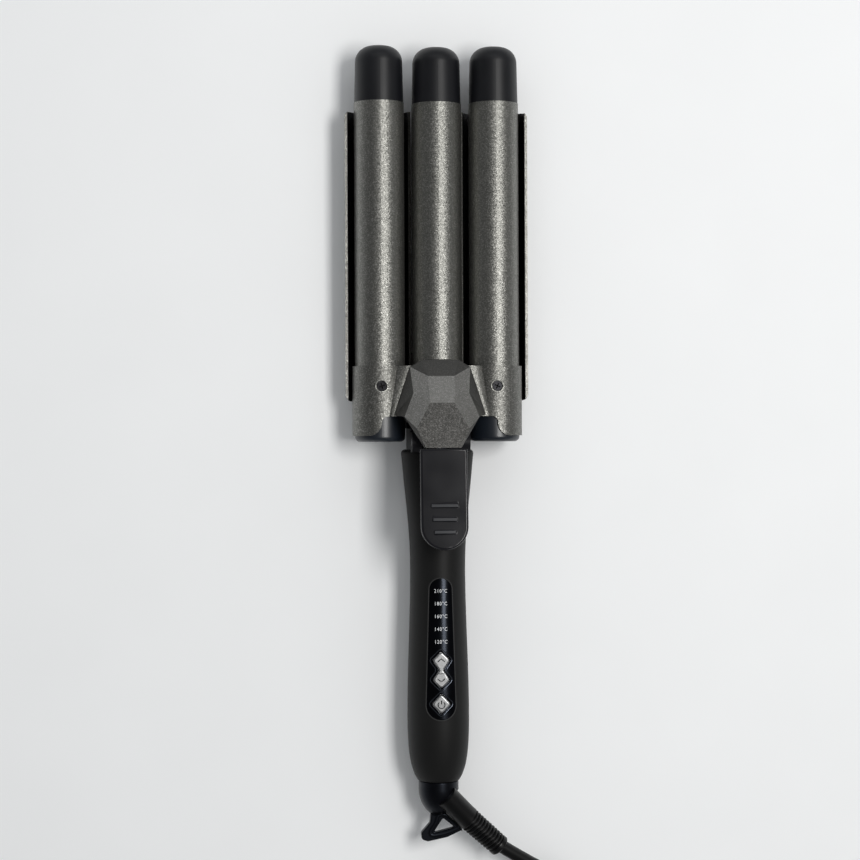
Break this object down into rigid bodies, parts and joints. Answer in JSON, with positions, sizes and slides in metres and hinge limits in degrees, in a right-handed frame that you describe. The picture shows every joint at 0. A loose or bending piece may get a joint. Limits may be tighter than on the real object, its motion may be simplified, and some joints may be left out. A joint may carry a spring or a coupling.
{
  "type": "hair waver",
  "caption": "Hair waver with parallel heated barrels on two sprung jaws, wing plates, thumb lever, control panel in a slim handle, and a swivel cord with plug.",
  "frame": {"origin": "middle of the waver's outline at its back face, where it lies on a table, without the cord", "axes": "+X across the barrels to the right, +Y along the barrels to the tips, +Z from the back to the thumb lever"},
  "size_m": [0.1395, 0.5615, 0.0557],
  "materials": {
    "glitter_coating": "ceramic coating with glitter",
    "glitter_shell": "glitter paint on moulded plastic",
    "metallic_grey": "fine metallic paint",
    "matte_black": "matte moulded",
    "socket_black": "satin moulded",
    "soft_touch_black": "soft-touch paint",
    "satin_black": "satin moulded",
    "gloss_black": "polished",
    "satin_silver": "satin silver paint",
    "rubber_black": "matte",
    "nickel": "nickel plated",
    "steel": "bright",
    "black_steel": "blackened",
    "heater_aluminium": "extruded",
    "white_ceramic": "smooth",
    "white_acetal": "moulded",
    "board_green": "solder mask",
    "black_plastic": "moulded",
    "lead_white": "silicone sleeve"
  },
  "bodies": {
    "handle": {"barrel_leads": "lead_white", "board_screws": "steel", "capacitor": "black_plastic", "centre_barrel": "glitter_coating", "centre_barrel_socket": "socket_black", "centre_heater": "heater_aluminium", "centre_tip_cap": "matte_black", "circuit_board": "board_green", "handle_front_shell": "soft_touch_black", "handle_rear_shell": "soft_touch_black", "handle_screws": "steel", "hinge_pin": "steel", "left_wing_plate": "glitter_coating", "neck_bracket": "socket_black", "panel_lens": "gloss_black", "rear_yoke": "matte_black", "relay": "black_plastic", "right_wing_plate": "glitter_coating", "swivel_bush": "white_acetal", "tact_switches": "black_plastic", "temperature_lamps": "white_ceramic", "thermistor": "white_ceramic", "torsion_spring": "steel", "wing_rivets": "steel", "yoke_screws": "black_steel"},
    "lever_jaw": {"left_barrel": "glitter_coating", "right_barrel": "glitter_coating", "left_tip_cap": "matte_black", "right_tip_cap": "matte_black", "left_barrel_socket": "socket_black", "right_barrel_socket": "socket_black", "left_heater": "heater_aluminium", "right_heater": "heater_aluminium", "saddle_shell": "glitter_shell", "saddle_screws": "black_steel", "centre_cover": "metallic_grey", "lever_frame": "black_plastic", "thumb_lever": "satin_black"},
    "rocker": {"temperature_rocker": "satin_silver"},
    "power": {"power_button": "satin_silver"},
    "swivel": {"swivel_housing": "gloss_black", "swivel_retainer": "white_acetal", "strain_relief": "rubber_black", "cord_lead": "rubber_black", "cord_coil": "rubber_black", "cord_tail": "rubber_black", "plug_body": "rubber_black", "plug_pins": "nickel"}
  },
  "joints": [
    {"name": "jaw_hinge", "type": "hinge", "parent": "handle", "child": "lever_jaw", "pos_m": [0, 0.0012, 0.03475], "axis": [1, 0, 0], "range_deg": [0, 18], "stiffness_Nm_per_rad": 1, "springref_deg": -20.05, "deforming": ["torsion_spring"]},
    {"name": "temperature_rocker_tilt", "type": "hinge", "parent": "handle", "child": "rocker", "pos_m": [0, -0.11155, 0.0302], "axis": [1, 0, 0], "range_deg": [-3, 3], "stiffness_Nm_per_rad": 0.01},
    {"name": "power_press", "type": "slide", "parent": "handle", "child": "power", "axis": [0, 0, -1], "range_m": [0, 0.0006], "stiffness_N_per_m": 800, "springref_m": -0.0002},
    {"name": "cord_swivel", "type": "hinge", "parent": "handle", "child": "swivel", "pos_m": [0, -0.168, 0.0165], "axis": [0, 1, 0], "continuous": true}
  ]
}
